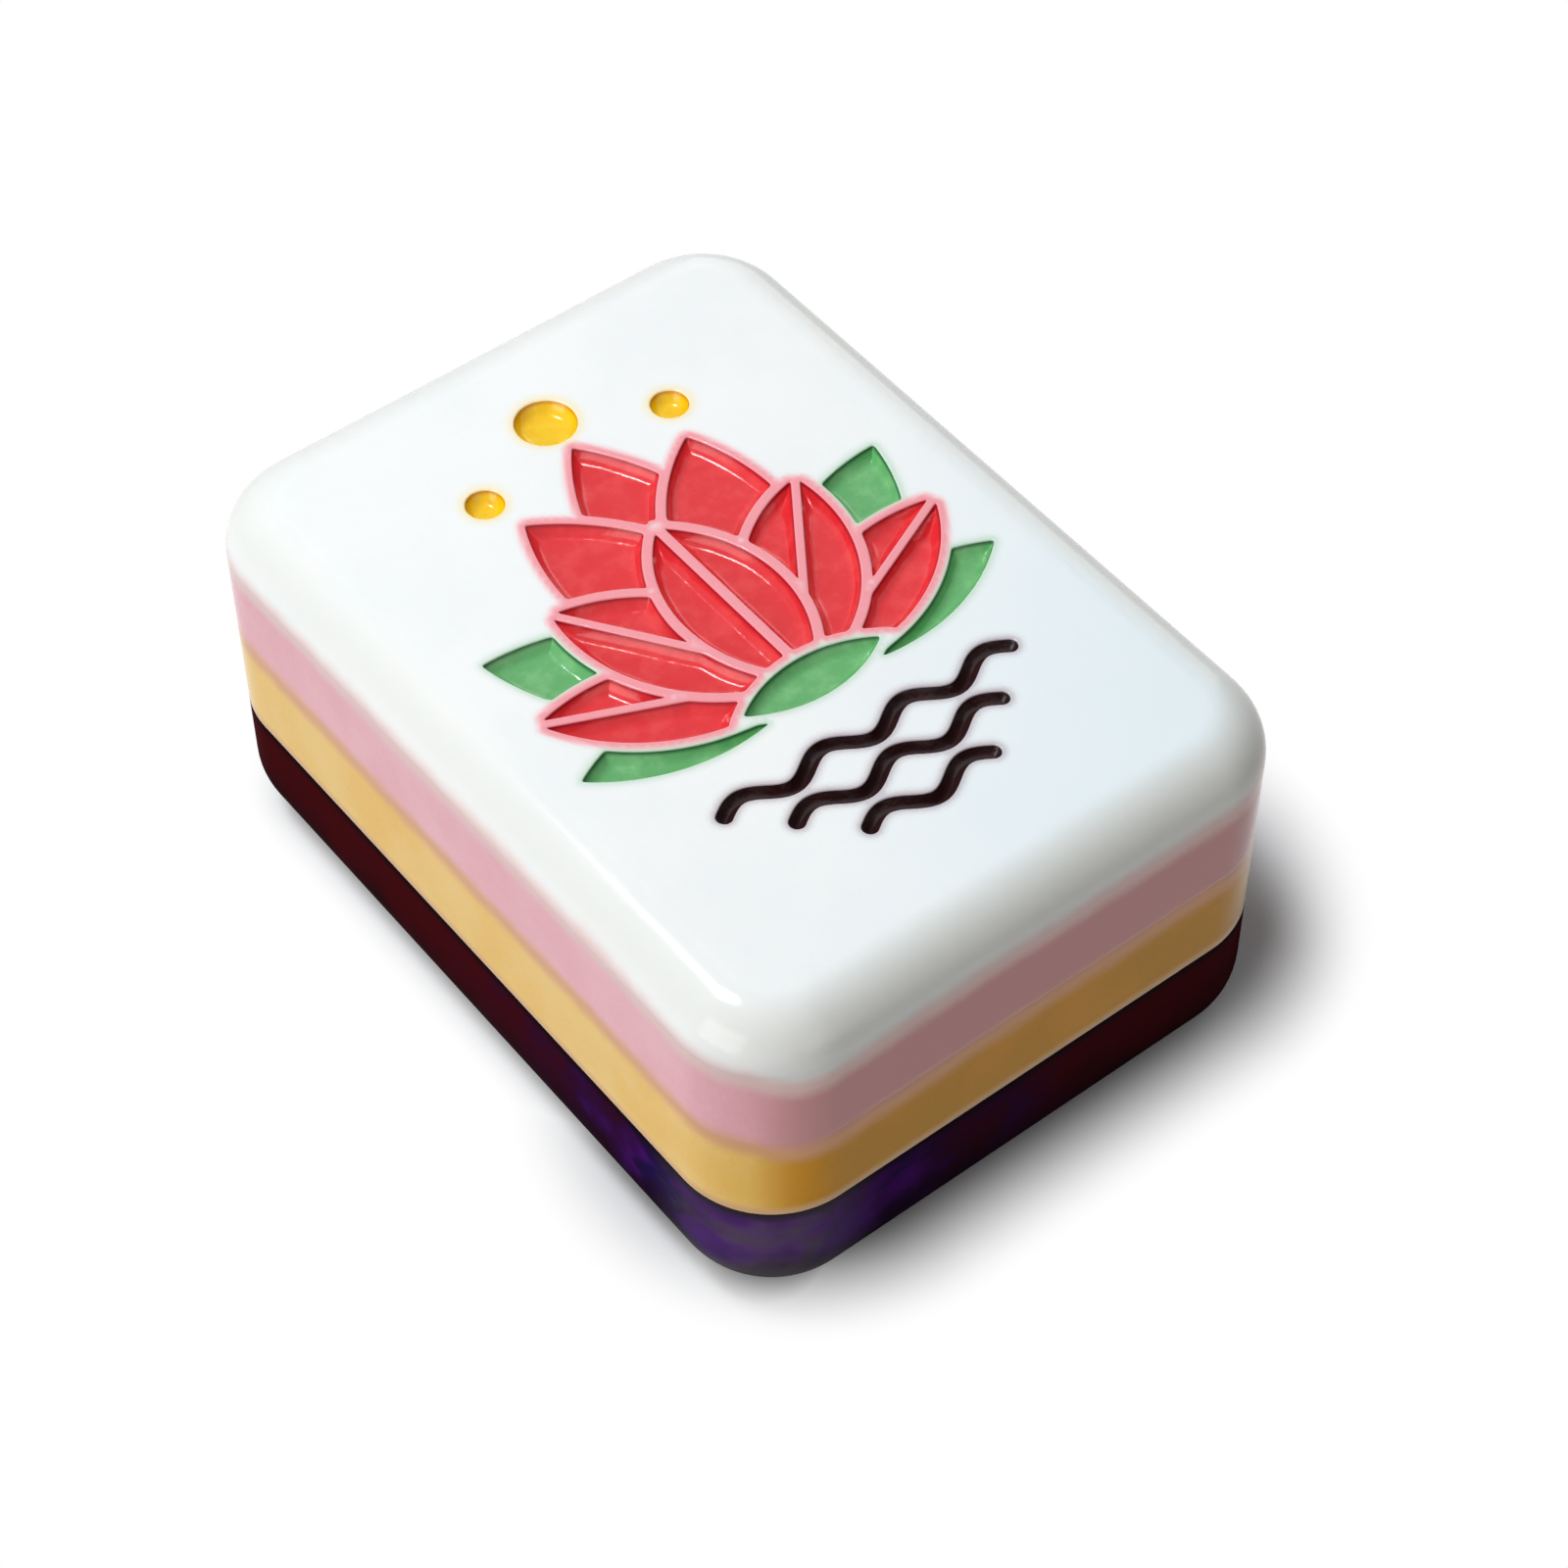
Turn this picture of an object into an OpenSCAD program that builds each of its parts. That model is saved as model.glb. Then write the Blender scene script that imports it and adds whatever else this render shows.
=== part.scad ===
// Mahjong tile lying on its back: a clear purple back, an amber layer and a pink
// layer under a white face, bonded one on another into a block with rounded edges.
// A lotus blossom over three ripples is engraved in the face. Each engraved cell is
// a flat-floored pocket that holds its own fill of enamel.
// X runs across the tile, Y towards the head of the picture, Z out of the face.
// The origin is the middle of the back.

/* [Outline] */
// Width of the tile across the picture
tile_w = 22; // [20:0.5:28]
// Length of the tile along the picture
tile_l = 30; // [27:0.5:40]
// Height of the tile from its back to its face
tile_h = 14; // [12:0.5:18]
// Radius of the four upright corners seen from above
corner_r = 3.4; // [3.2:0.1:5]
// Radius round the edge of the face
face_edge_r = 1.9; // [0.8:0.1:2.8]
// Radius round the edge of the back
back_edge_r = 2.5; // [0.8:0.1:3]

/* [Layers] */
// Thickness of the amber layer
amber_t = 3.45; // [2:0.05:5]
// Thickness of the pink layer
pink_t = 3.3; // [2:0.05:5]
// Thickness of the white face
face_t = 1.7; // [1.2:0.05:3]
// Thickness of the cement between two layers
bond_t = 0.1; // [0.04:0.02:0.3]

/* [Engraving] */
// Depth of the pockets in the face
pocket_d = 0.6; // [0.4:0.05:0.9]
// Depth of the enamel's surface under the face
enamel_drop = 0.2; // [0.1:0.05:0.3]
// White wall left standing between two cells
wall_w = 0.36; // [0.25:0.01:0.6]
// White rib left standing along the middle of a petal
rib_w = 0.3; // [0.2:0.01:0.5]

/* [Blossom] */
// Distance that the petals spring from below the middle of the face
blossom_drop = 3.9; // [2:0.1:4.2]
// Length of the middle petal in front
front_l = 7.9; // [7:0.1:8.4]
// Width of the middle petal in front
front_w = 3.7; // [3:0.1:4.2]
// Lean of the two petals beside it, in degrees
beside_lean = 35; // [31:1:38]
// Length of the two petals beside it
beside_l = 8.5; // [7.6:0.1:9]
// Width of the two petals beside it
beside_w = 3.7; // [3:0.1:4.2]
// Lean of the two outer petals, in degrees
outer_lean = 66; // [62:1:69]
// Length of the two outer petals
outer_l = 8.6; // [8:0.1:9.2]
// Width of the two outer petals
outer_w = 3.2; // [2.6:0.1:3.6]
// Lean of the two tall petals behind, in degrees
tall_lean = 17; // [15:1:19]
// Length of the two tall petals behind
tall_l = 11.1; // [10.4:0.1:11.6]
// Width of the two tall petals behind
tall_w = 4.4; // [4:0.1:4.8]
// Length of the crown petal behind them all
crown_l = 12.5; // [12.1:0.1:13]
// Width of the crown petal behind them all
crown_w = 4.4; // [4:0.1:5]

/* [Greenery] */
// Lean of the two upper sepals, in degrees
sepal_lean = 50; // [48:1:53]
// Length of the two upper sepals
sepal_l = 10.2; // [9.6:0.1:10.6]
// Width of the two upper sepals
sepal_w = 3.8; // [3.2:0.1:4.2]
// Lean of the two lower sepals, in degrees
low_sepal_lean = 84; // [82:1:86]
// Length of the two lower sepals
low_sepal_l = 8.2; // [7.6:0.1:8.6]
// Width of the two lower sepals
low_sepal_w = 2.6; // [2.2:0.1:3]
// Width of the cup under the petals
cup_w = 5.4; // [4.6:0.1:6.4]
// Height of the cup under the petals
cup_h = 1.7; // [1.3:0.1:2]
// Distance that the cup's middle lies below the root of the petals
cup_drop = 0.1; // [0:0.1:0.4]

/* [Pearls] */
// Diameter of the pearl over the blossom
pearl_d = 2.1; // [1:0.1:2.4]
// Diameter of the pearls over the two tall petals
small_pearl_d = 1.3; // [0.8:0.1:1.6]
// Gap between the crown petal's tip and the pearl over it
pearl_gap = 0.4; // [0.3:0.1:0.8]
// Gap between a tall petal's tip and the small pearl over it
small_pearl_gap = 0.95; // [0.5:0.05:1.2]

/* [Ripples] */
// Width of an engraved ripple's stroke
stroke_w = 0.55; // [0.4:0.05:0.7]
// Length of one swell, from one crossing of the ripple's middle line to the next
swell_l = 1.6; // [1.4:0.1:1.9]
// Height that a swell's middle line rises
swell_h = 0.34; // [0.2:0.02:0.4]
// Distance from the middle of the face down to the first ripple
ripple_drop = 6.8; // [6.5:0.1:8]
// Distance from one ripple down to the next
ripple_pitch = 1.5; // [1.4:0.1:2]

/* [Hidden] */
// How far a cutting shape runs past what it cuts
overrun = 1;

// Levels of the layers above the table, from the face down; the clear purple back
// takes what is left of the tile's height
face_z = tile_h - face_t;
pink_z = face_z - bond_t - pink_t;
amber_z = pink_z - bond_t - amber_t;
back_t = amber_z - bond_t;

// Level of the pockets' floors, and the thickness of the enamel on them
floor_z = tile_h - pocket_d;
enamel_t = pocket_d - enamel_drop;

// Petals and sepals from front to back: lean, length, width
FRONDS = [
    [0, front_l, front_w],
    [beside_lean, beside_l, beside_w],
    [outer_lean, outer_l, outer_w],
    [tall_lean, tall_l, tall_w],
    [sepal_lean, sepal_l, sepal_w],
    [low_sepal_lean, low_sepal_l, low_sepal_w],
    [0, crown_l, crown_w]
];
FRONT = 0;
BESIDE = 1;
OUTER = 2;
TALL = 3;
SEPAL = 4;
LOW_SEPAL = 5;
CROWN = 6;

// Sides of the picture, as seen by someone who reads it
LEFT = -1;
MIDDLE = 0;
RIGHT = 1;

// Halves of a petal that has a rib: the one that faces up and in, and the other
UPPER = -1;
WHOLE = 0;
LOWER = 1;

// Swells in each ripple, from the top one down
SWELLS = [7, 5, 3];
// Straight steps that draw one swell, and one round end of a ripple
swell_steps = 12;
end_steps = 12;

$fn = 96;

// Flat shapes that the block is made of

module quarter_disc(r) {
    intersection() {
        circle(r = r);
        square([r, r]);
    }
}

// Upright slice of the block from its middle out to an edge that lies reach away
module half_section(reach) {
    translate([0, back_edge_r])
        square([reach, tile_h - back_edge_r - face_edge_r]);
    square([reach - back_edge_r, back_edge_r]);
    translate([0, tile_h - face_edge_r])
        square([reach - face_edge_r, face_edge_r]);
    translate([reach - back_edge_r, back_edge_r])
        mirror([0, 1])
            quarter_disc(back_edge_r);
    translate([reach - face_edge_r, tile_h - face_edge_r])
        quarter_disc(face_edge_r);
}

// The same slice between two levels only
module layer_section(reach, low, high) {
    intersection() {
        half_section(reach);
        translate([-overrun, low])
            square([reach + 2 * overrun, high - low]);
    }
}

// Part of the block between two levels: a bar each way and four turned corners
module layer(low, high) {
    bar_l = tile_l - 2 * corner_r;
    bar_w = tile_w - 2 * corner_r;
    for (side = [0, 1])
        mirror([side, 0, 0])
            rotate([90, 0, 0])
                linear_extrude(height = bar_l, center = true)
                    layer_section(tile_w / 2, low, high);
    for (side = [0, 1])
        mirror([0, side, 0])
            rotate([90, 0, 90])
                linear_extrude(height = bar_w, center = true)
                    layer_section(tile_l / 2, low, high);
    for (side = [0, 1])
        mirror([side, 0, 0])
            for (end = [0, 1])
                mirror([0, end, 0])
                    translate([bar_w / 2, bar_l / 2, 0])
                        rotate_extrude(angle = 90)
                            layer_section(corner_r, low, high);
}

// Flat shapes of the picture

// Pointed oval that stands on the origin, grown all round by a margin
module lens(length, width, margin = 0) {
    arc_r = (length * length + width * width) / (4 * width);
    intersection() {
        translate([arc_r - width / 2, length / 2])
            circle(r = arc_r + margin);
        translate([width / 2 - arc_r, length / 2])
            circle(r = arc_r + margin);
    }
}

module frond_shape(place, margin = 0) {
    rotate(-FRONDS[place][0])
        lens(FRONDS[place][1], FRONDS[place][2], margin);
}

module cup_shape(margin = 0) {
    translate([-cup_w / 2, -cup_drop])
        rotate(-90)
            lens(cup_w, cup_h, margin);
}

// Everything to the right of the wall down the middle of the picture
module right_half() {
    translate([wall_w / 2, -tile_l])
        square([tile_w, 2 * tile_l]);
}

// Everything on one side of a frond's rib, or all of it
module half_of(place, half) {
    low = half == LOWER ? rib_w / 2 : -tile_w;
    high = half == UPPER ? -rib_w / 2 : tile_w;
    rotate(-FRONDS[place][0])
        translate([low, -tile_l])
            square([high - low, 2 * tile_l]);
}

// A frond on the right, less what the fronds in front of it and their walls cover
module right_cell(place, half) {
    difference() {
        intersection() {
            frond_shape(place);
            half_of(place, half);
            right_half();
        }
        covered(place);
    }
}

module middle_cell(place) {
    difference() {
        frond_shape(place);
        covered(place);
    }
}

// What hides parts of a frond: the cup and all fronds in front, on both sides
module covered(place) {
    cup_shape(wall_w);
    for (other = [0:1:place - 1]) {
        frond_shape(other, wall_w);
        if (FRONDS[other][0] > 0)
            mirror([1, 0])
                frond_shape(other, wall_w);
    }
}

module frond_cell(place, side, half = WHOLE) {
    if (side == MIDDLE)
        middle_cell(place);
    if (side == RIGHT)
        right_cell(place, half);
    if (side == LEFT)
        mirror([1, 0])
            right_cell(place, half);
}

module pearl_cell(side) {
    if (side == MIDDLE)
        translate([0, crown_l + pearl_gap + pearl_d / 2])
            circle(d = pearl_d);
    if (side != MIDDLE)
        rotate(-side * tall_lean)
            translate([0, tall_l + small_pearl_gap + small_pearl_d / 2])
                circle(d = small_pearl_d);
}

// A ripple's middle line is a sine: at t it has crossed t swells
function ripple_point(t) = [t * swell_l, swell_h * sin(180 * t)];
function ripple_slope(t) = atan2(PI * swell_h * cos(180 * t), swell_l);

// Point half a stroke away from the middle line, turned from its direction at t
function beside_ripple(t, turn) =
    let (way = ripple_slope(t) + turn)
    ripple_point(t) + stroke_w / 2 * [cos(way), sin(way)];

// Outline of a ripple: along its lower edge, round its far end, and back
function ripple_outline(count) =
    let (steps = count * swell_steps)
    concat(
        [for (i = [0:1:steps]) beside_ripple(i / swell_steps, -90)],
        [for (i = [1:1:end_steps - 1]) beside_ripple(count, 180 * i / end_steps - 90)],
        [for (i = [steps:-1:0]) beside_ripple(i / swell_steps, 90)],
        [for (i = [1:1:end_steps - 1]) beside_ripple(0, 180 * i / end_steps + 90)]
    );

module ripple_cell(row) {
    translate([-SWELLS[row] * swell_l / 2, -ripple_drop - row * ripple_pitch])
        polygon(ripple_outline(SWELLS[row]));
}

// Everything that grows from the root of the petals
module on_root() {
    translate([0, -blossom_drop])
        children();
}

// Pieces

module enamel(paint) {
    color(paint)
        translate([0, 0, floor_z])
            linear_extrude(height = enamel_t)
                children();
}

module petal(place, side, half = WHOLE) {
    enamel("crimson")
        on_root()
            frond_cell(place, side, half);
}

module sepal(place, side) {
    enamel("mediumseagreen")
        on_root()
            frond_cell(place, side);
}

module cup() {
    enamel("mediumseagreen")
        on_root()
            cup_shape();
}

module pearl(side) {
    enamel("gold")
        on_root()
            pearl_cell(side);
}

module ripple(row) {
    enamel("#230a0f")
        ripple_cell(row);
}

// All the cells of the picture together
module picture() {
    on_root() {
        cup_shape();
        frond_cell(CROWN, MIDDLE);
        for (side = [LEFT, RIGHT]) {
            for (place = [FRONT, TALL, SEPAL, LOW_SEPAL])
                frond_cell(place, side);
            for (place = [BESIDE, OUTER])
                for (half = [UPPER, LOWER])
                    frond_cell(place, side, half);
        }
        for (side = [LEFT, MIDDLE, RIGHT])
            pearl_cell(side);
    }
    for (row = [0:1:len(SWELLS) - 1])
        ripple_cell(row);
}

module back_layer() {
    color("indigo")
        layer(-overrun, back_t);
}

module amber_layer() {
    color("#e6be7d")
        layer(amber_z, amber_z + amber_t);
}

module pink_layer() {
    color("#e4b2ba")
        layer(pink_z, pink_z + pink_t);
}

module face_layer() {
    color("#f1f3f4")
        difference() {
            layer(face_z, tile_h + overrun);
            translate([0, 0, floor_z])
                linear_extrude(height = pocket_d + overrun)
                    picture();
        }
}

// Cement that fills the joint under the layer that starts at top_z
module bond(top_z) {
    color("#ead9cc")
        layer(top_z - bond_t, top_z);
}

back_layer();
bond(amber_z);  // back_bond
amber_layer();
bond(pink_z);  // middle_bond
pink_layer();
bond(face_z);  // face_bond
face_layer();
petal(FRONT, LEFT);  // front_petal_left
petal(FRONT, RIGHT);  // front_petal_right
petal(BESIDE, LEFT, UPPER);  // beside_petal_left_upper
petal(BESIDE, LEFT, LOWER);  // beside_petal_left_lower
petal(BESIDE, RIGHT, UPPER);  // beside_petal_right_upper
petal(BESIDE, RIGHT, LOWER);  // beside_petal_right_lower
petal(OUTER, LEFT, UPPER);  // outer_petal_left_upper
petal(OUTER, LEFT, LOWER);  // outer_petal_left_lower
petal(OUTER, RIGHT, UPPER);  // outer_petal_right_upper
petal(OUTER, RIGHT, LOWER);  // outer_petal_right_lower
petal(TALL, LEFT);  // tall_petal_left
petal(TALL, RIGHT);  // tall_petal_right
petal(CROWN, MIDDLE);  // crown_petal
sepal(SEPAL, LEFT);  // sepal_left
sepal(SEPAL, RIGHT);  // sepal_right
sepal(LOW_SEPAL, LEFT);  // low_sepal_left
sepal(LOW_SEPAL, RIGHT);  // low_sepal_right
cup();
pearl(MIDDLE);  // pearl_top
pearl(LEFT);  // pearl_left
pearl(RIGHT);  // pearl_right
ripple(0);  // ripple_top
ripple(1);  // ripple_middle
ripple(2);  // ripple_bottom
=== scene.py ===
# %% [markdown]
# # A mahjong tile
#
# The tile lies on its back. Four plates of cast acrylic are cemented one on another:
# a clear dark purple back, an amber layer, a pink layer and a white face. A lotus
# blossom over three ripples is engraved in the face, and each engraved cell holds its
# own fill of glossy enamel.
#
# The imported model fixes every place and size. This lesson reads the levels of the
# layers from it, works out finer skins with numpy, and gives each one a finish.

import bmesh
import bpy
import numpy as np
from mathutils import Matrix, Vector
from mathutils.geometry import delaunay_2d_cdt


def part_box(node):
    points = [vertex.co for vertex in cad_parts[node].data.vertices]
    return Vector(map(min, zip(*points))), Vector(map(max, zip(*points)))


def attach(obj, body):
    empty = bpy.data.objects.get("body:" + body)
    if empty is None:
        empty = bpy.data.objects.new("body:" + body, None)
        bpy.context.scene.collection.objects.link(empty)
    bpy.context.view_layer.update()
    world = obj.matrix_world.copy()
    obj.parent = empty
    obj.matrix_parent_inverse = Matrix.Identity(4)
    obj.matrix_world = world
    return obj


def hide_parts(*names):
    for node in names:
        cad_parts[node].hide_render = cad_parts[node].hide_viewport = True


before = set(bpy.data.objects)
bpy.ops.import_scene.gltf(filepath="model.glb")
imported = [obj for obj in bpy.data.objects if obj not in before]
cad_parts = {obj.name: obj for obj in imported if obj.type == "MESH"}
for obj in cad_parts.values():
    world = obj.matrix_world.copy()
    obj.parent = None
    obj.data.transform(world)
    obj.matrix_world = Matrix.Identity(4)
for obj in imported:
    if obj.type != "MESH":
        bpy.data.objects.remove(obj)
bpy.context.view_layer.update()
print("nodes in the frame:", len(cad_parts))

# %% [markdown]
# ## Sizes
#
# Blender works in metres, and a tile is easier to think of in millimetres. So all
# shapes are worked out in millimetres, and one function turns them into metres when it
# makes a mesh. The width, the length and the levels come from the frame. The radii of
# the edges can't be read from a box, so they are written down here.

# %% Sizes in millimetres
MM = 0.001
CORNER_R = 3.4
FACE_EDGE_R = 1.9
BACK_EDGE_R = 2.5
LAYERS = ["back_layer", "amber_layer", "pink_layer", "face_layer"]
BONDS = ["back_bond", "middle_bond", "face_bond"]
LEVELS = {name: [corner.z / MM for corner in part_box(name)] for name in LAYERS + BONDS}
HALF_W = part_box("amber_layer")[1].x / MM
HALF_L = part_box("amber_layer")[1].y / MM
TOP = LEVELS["face_layer"][1]
POCKET_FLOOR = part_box("cup")[0].z / MM
print("half width, half length, top:", HALF_W, HALF_L, TOP)
print("levels:", {name: np.round(level, 3).tolist() for name, level in LEVELS.items()})

# %% [markdown]
# ## Closed meshes from rings
#
# Every piece of this tile is a stack of rings: a closed line that moves up, down, in or
# out while it keeps its number of points. A grid of quads joins each ring to the next.
# Where the last ring shrinks to one point or to a line, its points share a place. They
# are merged, so that the mesh is closed, and then all faces are turned outwards.

# %% A piece from points and faces
SAME_PLACE = 0.0001 * MM
SHARP_TURN = np.radians(50)


def ring_quads(rows, columns, first=0):
    """Faces of a grid of rings: quad (row, column) joins two neighbours on two rings."""
    row, column = np.meshgrid(np.arange(rows - 1), np.arange(columns), indexing="ij")
    after = (column + 1) % columns
    low = row * columns
    high = low + columns
    quads = np.stack([low + column, low + after, high + after, high + column], axis=-1)
    return (quads.reshape(-1, 4) + first).tolist()


def make_piece(name, points, faces, node, marks=None):
    """Makes a closed piece from points in millimetres and hangs it on the frame.

    marks holds named numbers, one for each point, which the finish can read.
    """
    mesh = bpy.data.meshes.new(name)
    mesh.from_pydata((points * MM).tolist(), [], faces)
    for mark, numbers in (marks or {}).items():
        layer = mesh.attributes.new(mark, "FLOAT", "POINT")
        layer.data.foreach_set("value", np.ascontiguousarray(numbers, dtype=np.float32))
    shell = bmesh.new()
    shell.from_mesh(mesh)
    bmesh.ops.remove_doubles(shell, verts=shell.verts, dist=SAME_PLACE)
    bmesh.ops.recalc_face_normals(shell, faces=shell.faces)
    gaps = sum(edge.is_boundary for edge in shell.edges)
    volume = shell.calc_volume(signed=True) / MM**3
    shell.to_mesh(mesh)
    shell.free()
    mesh.polygons.foreach_set("use_smooth", [True] * len(mesh.polygons))
    mesh.set_sharp_from_angle(angle=SHARP_TURN)
    piece = bpy.data.objects.new(name, mesh)
    bpy.context.scene.collection.objects.link(piece)
    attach(piece, "root")
    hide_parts(node)
    mesh.calc_loop_triangles()
    print(f"{name}: {len(mesh.loop_triangles)} triangles, {gaps} open edges, {volume:.2f} mm3")
    return piece


# %% [markdown]
# ## The block
#
# Seen from above, the block is a rectangle with round corners. A ring of it is easy to
# write if each point has a core and a way out: the core sits at the middle of a corner's
# arc, or runs straight from one such middle to the next, and the point lies one corner
# radius out from its core. To draw the ring in by some inset, the point only stays that
# much nearer to its core. The edges of the face and of the back are quarter circles, so
# the inset at a level follows from the circle.

# %% The rings of the block
CORNER_STEPS = 20
SIDE_STEPS = 24
ARC_LEVELS = 25
WALL_LEVELS = 13
LEAST_STEP = 0.01


def block_cores():
    """Cores and ways out of a ring: four corner arcs, each with the straight after it."""
    turn = np.linspace(0, 90, CORNER_STEPS + 1)
    along = np.linspace(0, 1, SIDE_STEPS + 1)[1:-1]
    middle = np.array([HALF_W - CORNER_R, HALF_L - CORNER_R])
    middles = middle * np.array([[1, 1], [-1, 1], [-1, -1], [1, -1]])
    cores = []
    angles = []
    for corner in range(4):
        here = middles[corner]
        there = middles[(corner + 1) % 4]
        cores += [np.repeat(here[None], len(turn), axis=0)]
        cores += [here + along[:, None] * (there - here)]
        angles += [90 * corner + turn, np.full(len(along), 90.0 * (corner + 1))]
    angle = np.radians(np.concatenate(angles))
    return np.concatenate(cores), np.stack([np.cos(angle), np.sin(angle)], axis=1), angle


CORE, WAY, WAY_ANGLE = block_cores()


def block_ring(inset):
    """Ring of the block drawn in by an inset: core plus what is left of the radius."""
    return CORE + (CORNER_R - inset) * WAY


def inset_at(level):
    """Inset at a level: radius less the height of its circle over the distance left."""
    back = np.clip(BACK_EDGE_R - level, 0, BACK_EDGE_R)
    face = np.clip(level - (TOP - FACE_EDGE_R), 0, FACE_EDGE_R)
    back_inset = BACK_EDGE_R - np.sqrt(BACK_EDGE_R**2 - back**2)
    face_inset = FACE_EDGE_R - np.sqrt(FACE_EDGE_R**2 - face**2)
    return back_inset + face_inset


def levels_between(low, high):
    """Levels of the rings from low to high: even steps round each arc, and up the side."""
    turn = np.radians(np.linspace(0, 90, ARC_LEVELS))
    back = BACK_EDGE_R * (1 - np.cos(turn))
    face = TOP - FACE_EDGE_R * (1 - np.sin(turn))
    side = np.linspace(BACK_EDGE_R, TOP - FACE_EDGE_R, WALL_LEVELS)[1:-1]
    every = np.concatenate([back, side, face])
    inner = every[(every > low + LEAST_STEP) & (every < high - LEAST_STEP)]
    return np.concatenate([[low], inner, [high]])


print("points in a ring of the block:", len(CORE))

# %% [markdown]
# ## The plates
#
# Each plate below the face is the stretch of the block between two levels, closed by a
# flat cap at each end. A narrow flat ring comes just inside a cap's rim, so that the
# cap is shaded flat right out to its edge. Each point also gets a mark for wear, which
# is strongest where the block is roundest, because a tile is rubbed there.

# %% Make the plates
CAP_RING = 0.08
CORNER_WEAR = 0.6
PIECES = {}


def wear_at(levels):
    """Wear on a grid of rings: sine of twice the angle round an edge, or round a corner.

    The corner's share fades to nothing where the ring reaches a flat cap.
    """
    inset = inset_at(levels)
    radius = np.where(levels < TOP / 2, BACK_EDGE_R, FACE_EDGE_R)
    height = np.clip(1 - inset / radius, 0, 1)
    round_edge = 2 * height * np.sqrt(1 - height**2)
    round_corner = CORNER_WEAR * np.sin(2 * WAY_ANGLE) ** 2
    corner = np.where(np.abs(CORE[:, 0]) == HALF_W - CORNER_R, round_corner, 0)
    corner = np.where(np.abs(CORE[:, 1]) == HALF_L - CORNER_R, corner, 0)
    return np.maximum(round_edge[:, None], height[:, None] * corner[None, :])


def stack(insets, levels):
    """Points of a stack of rings of the block, one ring for each inset and its level."""
    rings = [block_ring(inset) for inset in insets]
    heights = np.repeat(levels, len(CORE))
    return np.column_stack([np.concatenate(rings), heights])


def make_plate(name, node, slot):
    """A plate: cap ring, rings up the side, cap ring, and a flat face over each end."""
    levels = levels_between(*LEVELS[node])
    insets = inset_at(levels)
    wear_and_shade = wear_at(levels)
    levels = np.concatenate([levels[:1], levels, levels[-1:]])
    insets = np.concatenate([insets[:1] + CAP_RING, insets, insets[-1:] + CAP_RING])
    wear_and_shade = np.concatenate([wear_and_shade[:1], wear_and_shade, wear_and_shade[-1:]])
    count = len(CORE)
    rows = len(levels)
    faces = ring_quads(rows, count)
    faces += [list(range(count)), list(range((rows - 1) * count, rows * count))]
    piece = make_piece(name, stack(insets, levels), faces, node, {"wear_and_shade": wear_and_shade.ravel()})
    PIECES.setdefault(slot, []).append(piece)


make_plate("purple_plate", "back_layer", "purple_back")
make_plate("amber_plate", "amber_layer", "amber_layer")
make_plate("pink_plate", "pink_layer", "pink_layer")

# %% [markdown]
# ## The cement
#
# The plates are held by films of cement a tenth of a millimetre thick. They are made
# like the plates. The lowest one shows as a pale line over the dark back. It starts a
# hair lower, inside the back, so that these two faces never share a place.

# %% Make the films of cement
SUNK = 0.01
LEVELS["back_bond"][0] -= SUNK
make_plate("back_cement", "back_bond", "cement")
make_plate("middle_cement", "middle_bond", "cement")
make_plate("face_cement", "face_bond", "cement")

# %% [markdown]
# ## Petals as rays and circles
#
# A petal is a pointed oval, where two circles overlap. It stands on the root of the
# blossom and leans to one side. A petal in front hides part of the one behind it, and
# leaves a wall of white between them.
#
# An engraved cell is what remains of a petal. Its outline is found as a lighthouse would
# find it: from a point inside, rays go out all round, and each one stops at the first
# thing that it meets. That is the petal's own circle, an overlapping petal grown by the
# wall, the rib along the petal's middle, or the wall down the middle of the picture.
# Where a ray meets a circle is one line of algebra, so a whole outline is a few arrays.

# %% Sizes of the picture
WALL = 0.36
RIB = 0.30
BLOSSOM_ROOT = np.array([0.0, -3.9])
PETALS = {
    "front": (0, 7.9, 3.7),
    "beside": (35, 8.5, 3.7),
    "outer": (66, 8.6, 3.2),
    "tall": (17, 11.1, 4.4),
    "sepal": (50, 10.2, 3.8),
    "low_sepal": (84, 8.2, 2.6),
    "crown": (0, 12.5, 4.4),
}
CUP = (90, 5.4, 1.7)
CUP_FOOT = np.array([-2.7, -0.1])


# %% Where a ray meets a petal
def lean_over(points, lean):
    """Points turned clockwise by a lean in degrees."""
    angle = np.radians(lean)
    back = np.array([[np.cos(angle), -np.sin(angle)], [np.sin(angle), np.cos(angle)]])
    return np.asarray(points, dtype=float) @ back


def oval(size, grow=0.0, foot=(0, 0), side=1):
    """A leaning oval's two circles: radius (l2 + w2) / 4w, middles on its cross line."""
    lean, length, width = size
    radius = (length**2 + width**2) / (4 * width)
    off = radius - width / 2
    middles = lean_over([[off, length / 2], [-off, length / 2]], lean) * [side, 1] + foot
    return middles, radius + grow


def entry_and_exit(start, rays, middle, radius):
    """Distances along rays to a circle: minus b less and plus the root of b2 - c."""
    gap = np.asarray(start) - middle
    b = rays @ gap
    under = b**2 - gap @ gap + radius**2
    root = np.sqrt(np.maximum(under, 0))
    hit = under > 0
    return np.where(hit, -b - root, np.inf), np.where(hit, -b + root, -np.inf)


def reach_inside(start, rays, shape):
    """How far a ray goes before it leaves an oval: the nearer of the two exits."""
    middles, radius = shape
    return np.minimum(*[entry_and_exit(start, rays, m, radius)[1] for m in middles])


def reach_outside(start, rays, shape):
    """How far a ray goes before it enters an oval: the later entry, if no exit is first."""
    middles, radius = shape
    entries, exits = zip(*[entry_and_exit(start, rays, m, radius) for m in middles])
    enters = np.maximum(*entries)
    leaves = np.minimum(*exits)
    return np.where((enters < leaves) & (leaves > 0), np.maximum(enters, 0), np.inf)


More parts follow.
